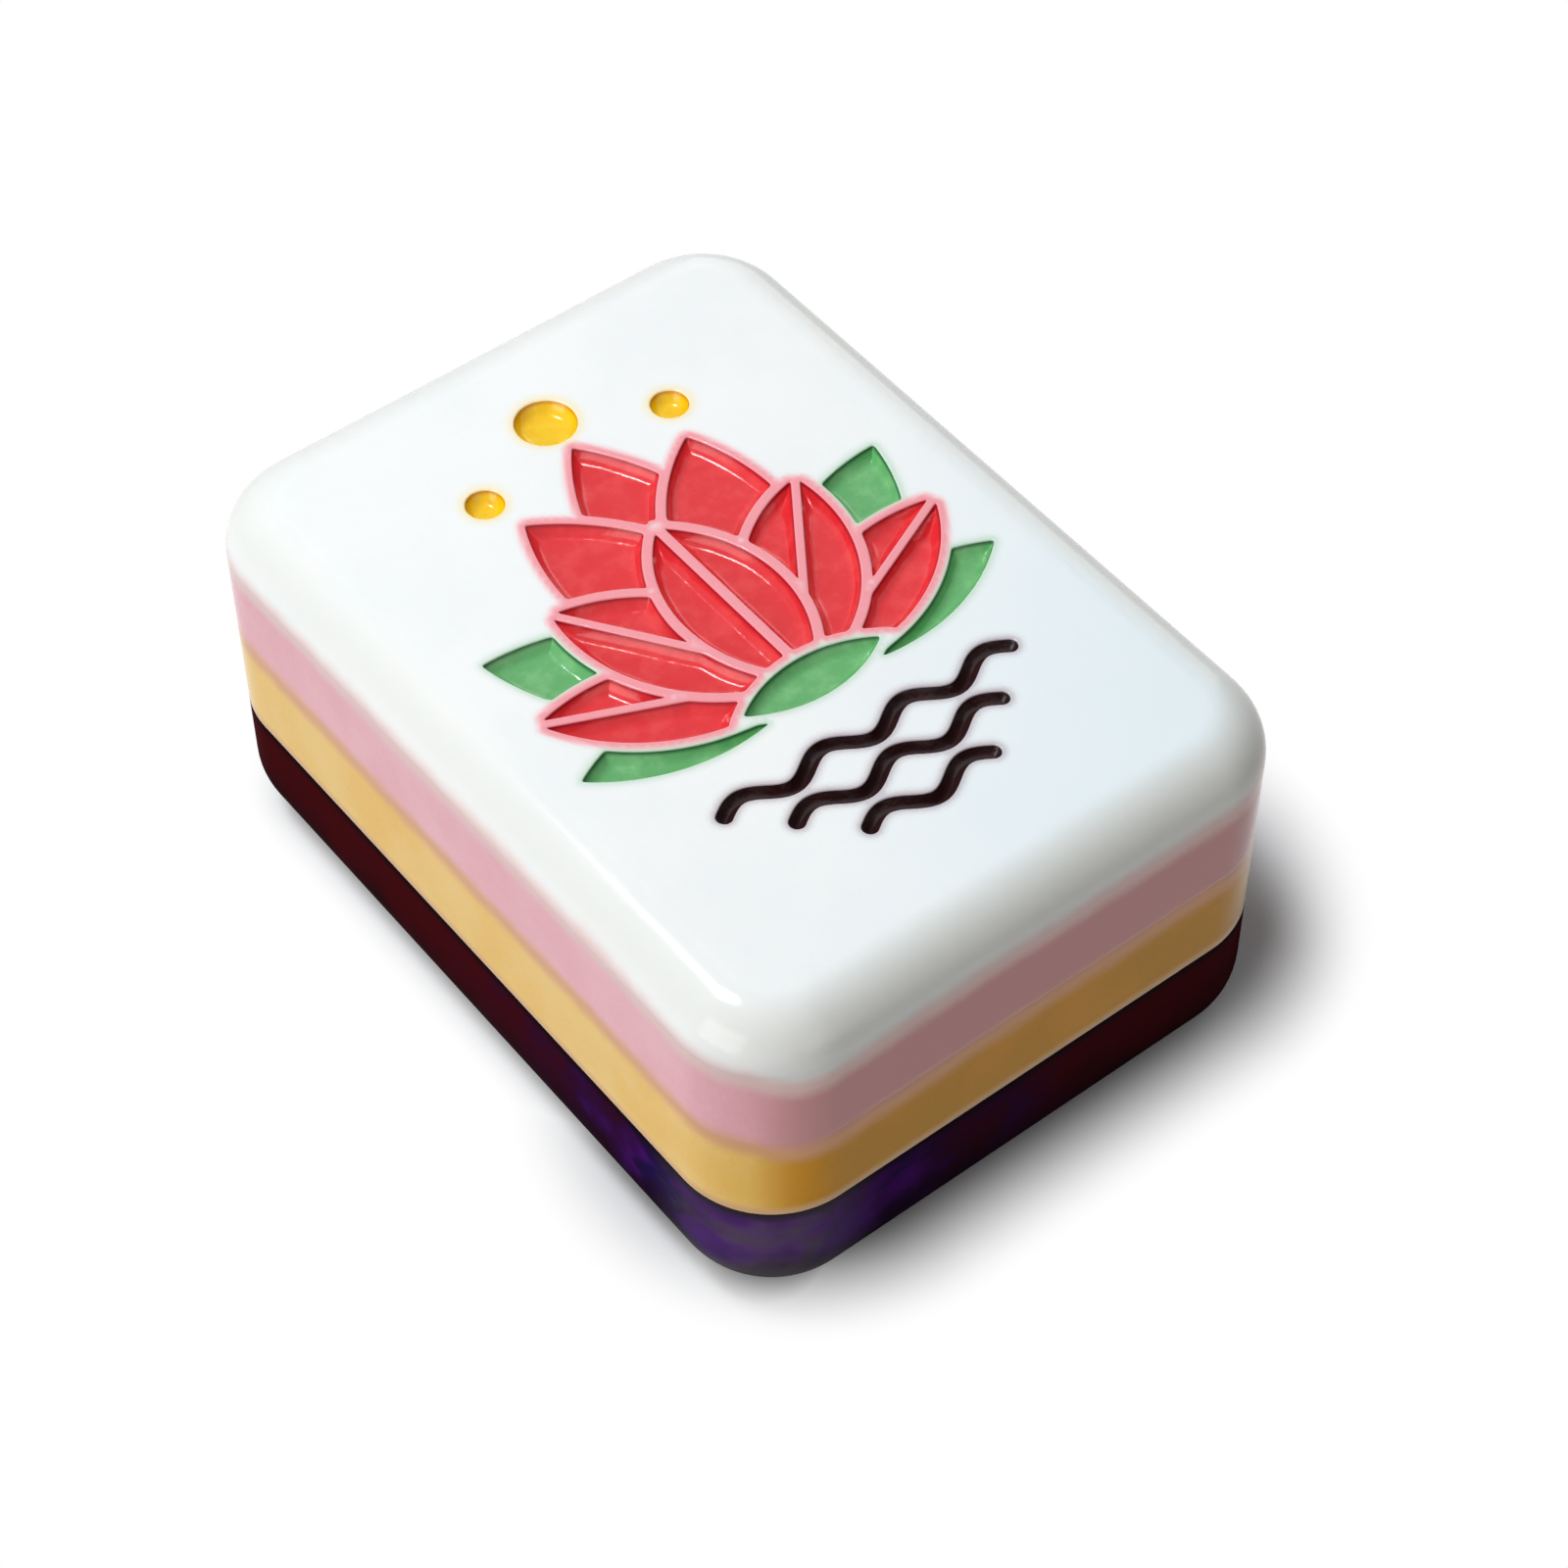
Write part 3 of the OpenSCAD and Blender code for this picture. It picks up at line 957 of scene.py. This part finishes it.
def stack_colour(finish, place):
    """Amber, pink and white by height: each seam fades through its own middle colour."""
    across, along, height = (finish.axis(place, number) for number in range(3))
    slow = SLOW_RIPPLE * (finish.noise(place, 0.3, 2.0) - 0.5)
    ripple = slow + QUICK_RIPPLE * (finish.noise(place, 1.1) - 0.5)
    corner = finish.rise(diagonal(finish, place), *CORNER_REACH)
    end = finish.rise(abs(along), *END_REACH)
    # Painted shade: the short sides take deeper amber and pink.
    amber_end_shade = cloudy(finish, place, AMBER_END_SHADE_DEEP, AMBER_END_SHADE)
    amber = finish.blend(cloudy(finish, place, AMBER, AMBER_DEEP), amber_end_shade, end)
    pink = finish.blend(cloudy(finish, place, PINK, PINK_DEEP), PINK_END_SHADE, end)
    # Painted shade: the top of the face turns cooler and darker towards its lower right.
    lower_right = finish.rise(across - along, *LOWER_RIGHT_REACH)
    blue_shade = BLUE_SHADE_SHARE * (lower_right * finish.rise(height, *FACE_REACH))
    white = finish.blend(cloudy(finish, place, WHITE, WHITE_COOL), WHITE_BLUE_SHADE, blue_shade)
    low = LEVELS["amber_layer"][0]
    colour = finish.blend(AMBER_LOW, amber, finish.rise(height, low, low + AMBER_LOW_FADE))
    amber_dip = AMBER_END_DIP * end + AMBER_CORNER_DIP * corner
    pink_dip = PINK_END_DIP * end + PINK_CORNER_DIP * corner - PINK_TILT * along
    for top, dip, middle, above in (
        (LEVELS["amber_layer"][1], amber_dip, SEAM_PEACH, pink),
        (LEVELS["pink_layer"][1], pink_dip, SEAM_PALE, white),
    ):
        level = height + ripple + dip - (top + SEAM_LIFT)
        colour = finish.blend(colour, middle, finish.rise(level, -SEAM_HALF, 0.0))
        colour = finish.blend(colour, above, finish.rise(level, 0.0, SEAM_HALF))
    return colour


# Tints over the stack: grey on the white plate's round edges, and a painted glow of each
# enamel's colour round its cells.
WEAR_AND_GLOW_TINTS = (
    # Grey on the white plate's round edges: partly wear, partly painted shade.
    ("wear_and_shade", tint(223, 225, 222), 0.9),
    ("brown_halo_glow", tint(150, 120, 135), 0.55),
    ("yellow_halo_glow", tint(250, 226, 150), 0.6),
    ("green_halo_glow", tint(170, 210, 178), 0.6),
    ("red_halo_glow", tint(244, 142, 154), 0.9),
)
SMOOTH_ACRYLIC = 0.09
WORN_ACRYLIC = 0.05
JOINT_CLEAR = 1.2


def acrylic(name, shine, overlays=()):
    """A milky acrylic in the colours of the stack, with tints that blend over them: a
    painted glow round the enamel, and grey on the round edges, partly wear and partly
    painted shade.

    That grey fades out near the joint, so that the plate meets the film in one colour.
    """
    material = bpy.data.materials.new(name)
    finish = Finish(material)
    place = finish.place()
    rough, normal = polish(finish, place, finish.mark("wear_and_shade"), SMOOTH_ACRYLIC, WORN_ACRYLIC)
    colour = stack_colour(finish, place)
    joint = LEVELS["face_layer"][0]
    clear_of_joint = finish.rise(finish.axis(place, 2), joint, joint + JOINT_CLEAR)
    for mark, shade, most in overlays:
        share = most * finish.mark(mark)
        if mark == "wear_and_shade":
            share = share * clear_of_joint
        colour = finish.blend(colour, shade, share)
    feeds = {
        "Base Color": colour,
        "Roughness": rough,
        "Normal": normal,
        "IOR": 1.49,
        "Specular IOR Level": shine,
        "Subsurface Weight": 0.14,
        "Subsurface Radius": (1.0, 0.8, 0.7),
        "Subsurface Scale": 0.3 * MM,
    }
    finish.show(feeds)
    return material


FINISHES = {
    "white_face": acrylic("white_acrylic", 0.32, WEAR_AND_GLOW_TINTS),
    "pink_layer": acrylic("pink_acrylic", 0.07),
    "amber_layer": acrylic("amber_acrylic", 0.06),
    "cement": acrylic("acrylic_cement", 0.2),
}

# %% [markdown]
# ## Dark purple acrylic
#
# The back is clear acrylic, dyed so dark that the eye gets no further than a millimetre
# or two into it. What shows is light that has gone a short way through it, and the finish
# paints that light: a violet glow with navy swirls at two upright corners, and a reddish
# black along the sides. The pale streaks near those corners are a painted reflection. At
# the joint the plate is nearly black, and under its round edge it is painted nearly black
# as shade. So the finish is opaque, and paints all this by the place on the block. A thin
# coat gives it the gloss, most of it at the two corners.

# %% The purple finish
PURPLE_GLOW = tint(72, 14, 116)
PURPLE_NAVY = tint(24, 12, 74)
PURPLE_PAINTED_SHEEN = tint(92, 70, 98)
PURPLE = tint(42, 3, 44)
PURPLE_DEEP = tint(64, 1, 8)
PURPLE_EDGE = tint(18, 2, 9)
SMOOTH_PURPLE = 0.1
WORN_PURPLE = 0.1
SWIRL_SHIFT = 11.0
STREAK_STRETCH = (1.0, 1.0, 1.8)
STREAK_SHIFT = 5.0
STREAK_REACH = (0.45, 0.6)
VIOLET_REACH = (7.0, 14.0)
GLOW_REACH = (11.5, 18.5)
SHEEN_REACH = (15.8, 17.4)
SHEEN_SHARE = 0.7
JOINT_DARK = 0.6
FOOT_SHADE_SHIFT = 3.0
FOOT_SHADE_REACH = (0.8, 4.0)
GLOSS_REACH = (14.5, 17.0)
GLOSS_LEAST = 0.02
GLOSS_MORE = 0.18


def purple_acrylic():
    """Opaque acrylic with light through it painted: violet and navy glow near two upright
    corners, else dark red; pale streaks there as painted reflection, painted shade at the foot.
    """
    material = bpy.data.materials.new("purple_acrylic")
    finish = Finish(material)
    place = finish.place()
    rough, normal = polish(finish, place, finish.mark("wear_and_shade"), SMOOTH_PURPLE, WORN_PURPLE)
    swirl = finish.noise(place, 0.45, 3.0, 0.6) - 0.5
    stretched = finish.node("Mapping", None, {0: place, 3: STREAK_STRETCH})
    streaks = finish.noise(stretched, 0.42, 2.0, 0.5)
    corner = abs(diagonal(finish, place))
    out = corner + SWIRL_SHIFT * swirl
    # Painted light through the plate: reddish black along the sides, purple further out, and a
    # violet glow at two upright corners.
    colour = finish.blend(PURPLE_DEEP, PURPLE, finish.rise(out, *VIOLET_REACH))
    glow = finish.blend(PURPLE_GLOW, PURPLE_NAVY, finish.rise(streaks, *STREAK_REACH))
    # Painted reflection: pale streaks near the two upright corners.
    sheen = finish.rise(corner + STREAK_SHIFT * (streaks - 0.5), *SHEEN_REACH)
    glow = finish.blend(glow, PURPLE_PAINTED_SHEEN, SHEEN_SHARE * sheen)
    colour = finish.blend(colour, glow, finish.rise(out, *GLOW_REACH))
    height = finish.axis(place, 2)
    top = LEVELS["back_layer"][1]
    colour = finish.blend(colour, PURPLE_EDGE, finish.rise(height, top - JOINT_DARK, top))
    # Painted shade: nearly black low on the back's round edge.
    foot = finish.rise(height + FOOT_SHADE_SHIFT * swirl, *FOOT_SHADE_REACH)
    colour = finish.blend(PURPLE_EDGE, colour, foot)
    feeds = {
        "Base Color": colour,
        "Roughness": rough,
        "Normal": normal,
        "IOR": 1.49,
        "Specular IOR Level": 0.0,
        "Coat Weight": GLOSS_LEAST + GLOSS_MORE * finish.rise(corner, *GLOSS_REACH),
        "Coat Roughness": 0.05,
    }
    finish.show(feeds)
    return material


FINISHES["purple_back"] = purple_acrylic()

# %% [markdown]
# ## Enamel
#
# Enamel is glossy and opaque. Near the rim of its cell it is painted darker, as painted
# shade from the cell's wall. The mark called pool is 0 at that rim and 1 in the deep
# middle. Slow clouds stand for uneven drying, and a fine bump breaks up the reflections.

# %% The four enamels
CLOUD_REACH = (0.42, 0.68)
CLOUD_SHARE = 0.6
RIM_SHADE_REACH = (0.08, 0.4)
LUMP_H = 0.02
SPECK_H = 0.0016
SMOOTH_ENAMEL = 0.12
UNEVEN_ENAMEL = 0.14


def enamel(name, deep, rim_shade, cloud):
    """A glossy enamel: a darker rim as painted shade, a deep colour in the pool, and clouds in
    it.
    """
    material = bpy.data.materials.new(name)
    finish = Finish(material)
    place = finish.place()
    clouds = finish.rise(finish.noise(place, 1.1, 4.0, 0.6), *CLOUD_REACH)
    colour = finish.blend(deep, cloud, CLOUD_SHARE * clouds)
    colour = finish.blend(rim_shade, colour, finish.rise(finish.mark("pool"), *RIM_SHADE_REACH))
    lumps = LUMP_H * finish.noise(place, 2.2, 3.0)
    specks = SPECK_H * finish.noise(place, 11.0, 2.0)
    feeds = {
        "Base Color": colour,
        "Roughness": SMOOTH_ENAMEL + UNEVEN_ENAMEL * finish.noise(place, 3.0, 4.0, 0.6),
        "Normal": finish.bump(lumps + specks),
        "IOR": 1.52,
        "Specular IOR Level": 0.3,
        "Coat Weight": 0.15,
        "Coat Roughness": 0.06,
    }
    finish.show(feeds)
    return material


# Each enamel: its deep colour, a darker rim as painted shade, and a paler cloud.
ENAMELS = {
    "red_enamel": (tint(222, 44, 52), tint(172, 22, 40), tint(234, 72, 74)),
    "green_enamel": (tint(98, 172, 106), tint(44, 104, 60), tint(130, 194, 132)),
    "yellow_enamel": (tint(242, 200, 8), tint(216, 150, 8), tint(236, 178, 4)),
    "brown_enamel": (tint(38, 10, 12), tint(30, 6, 10), tint(54, 16, 18)),
}
for slot, tints in ENAMELS.items():
    FINISHES[slot] = enamel(slot, *tints)
for slot, pieces in PIECES.items():
    for piece in pieces:
        piece.data.materials.append(FINISHES[slot])
print("finishes:", sorted(FINISHES))

# %% [markdown]
# ## Floor, light and camera
#
# The tile lies on plain white with a short soft shadow. A floor that white would throw
# too much light back on the tile. So it is grey to the light, and only rays that look at
# it see it paler: those from the camera, and those that were mirrored or have gone
# through something. Inside a painted shadow patch, a rounded rectangle off centre, and in
# a narrow band round the tile's foot, they see a shaded floor lit by the lamps, which
# keeps the shadow there; further out pure white.

# %% The floor
FLOOR_HALF = 2.0
FLOOR_DROP = 0.00002

floor_mesh = bpy.data.meshes.new("floor")
corners = FLOOR_HALF * np.array([(-1, -1), (1, -1), (1, 1), (-1, 1)])
places = np.column_stack([corners, np.full(len(corners), -FLOOR_DROP)])
floor_mesh.from_pydata(places.tolist(), [], [(0, 1, 2, 3)])
floor = bpy.data.objects.new("floor", floor_mesh)
bpy.context.scene.collection.objects.link(floor)

# %% The floor's finish
PLAIN_WHITE = (1.0, 1.0, 1.0, 1.0)
FLOOR_TONE = (0.46, 0.45, 0.43, 1.0)
SHADOW_TONE = (0.65, 0.655, 0.695, 1.0)
# Painted shadow: the off-centre patch where the shaded floor shows.
SHADOW_MIDDLE = (2.5, -8.3, 0.0)
SHADOW_HALF = (6.4, 0.1, 1.0)
SHADOW_R = 5.5
SHADOW_WIDTH = 4.1
# Painted shadow: a narrow band round the tile's foot.
TOUCH_FROM = -1.6
TOUCH_TO = 0.7


def looked_at(finish):
    """1 for a ray from the camera, a mirrored ray, or one that has gone through."""
    seen = finish.node("LightPath", take=0)
    mirrored = finish.node("LightPath", take=3)
    through = finish.node("LightPath", take=6)
    return seen.most(mirrored).most(through)


def beyond(finish, middle, half, radius):
    """Distance from a rectangle with round corners: the way past its core, less the radius."""
    aside = finish.vector("SUBTRACT", finish.place(), middle)
    aside = finish.vector("SUBTRACT", finish.vector("ABSOLUTE", aside), half)
    past = finish.vector("MAXIMUM", aside)
    return finish.vector("LENGTH", past, take=1) - radius


paper = bpy.data.materials.new("floor_paper")
finish = Finish(paper)
plain = finish.node("BsdfDiffuse", None, {"Color": FLOOR_TONE})
near = finish.node("BsdfDiffuse", None, {"Color": SHADOW_TONE})
white = finish.node("Emission", None, {"Color": PLAIN_WHITE, "Strength": 1.0})
# Painted shadow: the floor turns from the shaded tone to white by the patch and the band.
shade = finish.rise(beyond(finish, SHADOW_MIDDLE, SHADOW_HALF, SHADOW_R), 0.0, SHADOW_WIDTH)
block_half = (HALF_W - CORNER_R, HALF_L - CORNER_R, 1.0)
touch = finish.rise(beyond(finish, (0.0, 0.0, 0.0), block_half, CORNER_R), TOUCH_FROM, TOUCH_TO)
shown = finish.node("MixShader", None, {0: shade.least(touch), 1: near, 2: white})
surface = finish.node("MixShader", None, {0: looked_at(finish), 1: plain, 2: shown})
finish.node("OutputMaterial", None, {"Surface": surface})
floor_mesh.materials.append(paper)

# %% The world
SKY_TONE = (1.0, 0.97, 0.92, 1.0)
SKY_STRENGTH = 0.14

world = bpy.data.worlds.new("studio")
bpy.context.scene.world = world
finish = Finish(world)
sky = finish.node("Background", None, {"Color": SKY_TONE, "Strength": SKY_STRENGTH})
backdrop = finish.node("Background", None, {"Color": PLAIN_WHITE, "Strength": 1.0})
shown = finish.node("MixShader", None, {0: looked_at(finish), 1: sky, 2: backdrop})
finish.node("OutputWorld", None, {"Surface": shown})

# %% [markdown]
# Four soft lamps light the tile. The key lamp stands low at the left and lights the long
# side. A small one overhead lights the face and draws a thin streak on its round edge. A
# weak warm one stands at the front, and one at the back right lifts the far sides.

# %% The lamps
TILE_MIDDLE = Vector((0, 0, TOP / 2 * MM))


def softbox(name, way, away, size, power, colour):
    """A square lamp that shines at the tile from a direction, a distance away in metres."""
    lamp = bpy.data.lights.new(name, "AREA")
    lamp.shape = "SQUARE"
    lamp.size = size
    lamp.energy = power
    lamp.color = colour
    holder = bpy.data.objects.new(name, lamp)
    bpy.context.scene.collection.objects.link(holder)
    way = Vector(way).normalized()
    holder.location = way * away + TILE_MIDDLE
    holder.rotation_euler = way.to_track_quat("Z", "Y").to_euler()
    print(f"{name}: {power} W at {away} m")


softbox("key_softbox", (-0.94, -0.12, 0.30), 0.34, 0.24, 0.56, (1.0, 1.0, 0.98))
softbox("overhead_softbox", (-0.24, 0.34, 1.0), 0.20, 0.05, 0.294, (0.965, 0.99, 1.0))
softbox("side_softbox", (0.10, -0.95, 0.30), 0.40, 0.20, 0.11, (1.0, 0.93, 0.82))
softbox("fill_softbox", (0.72, 0.60, 0.34), 0.40, 0.24, 0.24, (1.0, 0.98, 0.96))

# %% [markdown]
# The photograph was taken from above a corner of the tile. The camera is placed by its
# direction, its distance, and the spot in the frame where the middle of the tile lies.

# %% The camera
AZIMUTH = np.radians(-38.165)
ELEVATION = np.radians(50.053)
DISTANCE = 127.5 * MM
FOCAL_PIXELS = 3967.0
FRAME_PIXELS = 1600.0
SENSOR = 36.0
TARGET_PIXEL = (750.7, 760.3)

level = np.cos(ELEVATION)
back = Vector((np.sin(AZIMUTH) * level, -np.cos(AZIMUTH) * level, np.sin(ELEVATION)))
right = Vector((np.cos(AZIMUTH), np.sin(AZIMUTH), 0))
up = back.cross(right)
aside = (TARGET_PIXEL[0] - FRAME_PIXELS / 2) * DISTANCE / FOCAL_PIXELS
above = (FRAME_PIXELS / 2 - TARGET_PIXEL[1]) * DISTANCE / FOCAL_PIXELS
lens = bpy.data.cameras.new("camera")
lens.sensor_width = SENSOR
lens.lens = FOCAL_PIXELS * SENSOR / FRAME_PIXELS
lens.clip_start = 0.01
lens.clip_end = 20.0
camera = bpy.data.objects.new("camera", lens)
bpy.context.scene.collection.objects.link(camera)
camera.location = TILE_MIDDLE + back * DISTANCE - right * aside - up * above
camera.rotation_mode = "QUATERNION"
camera.rotation_quaternion = (-back).to_track_quat("-Z", "Y")
bpy.context.scene.camera = camera
bpy.context.scene.view_settings.view_transform = "Standard"
print("lens:", round(lens.lens, 3), "mm, camera at", [round(v, 4) for v in camera.location])
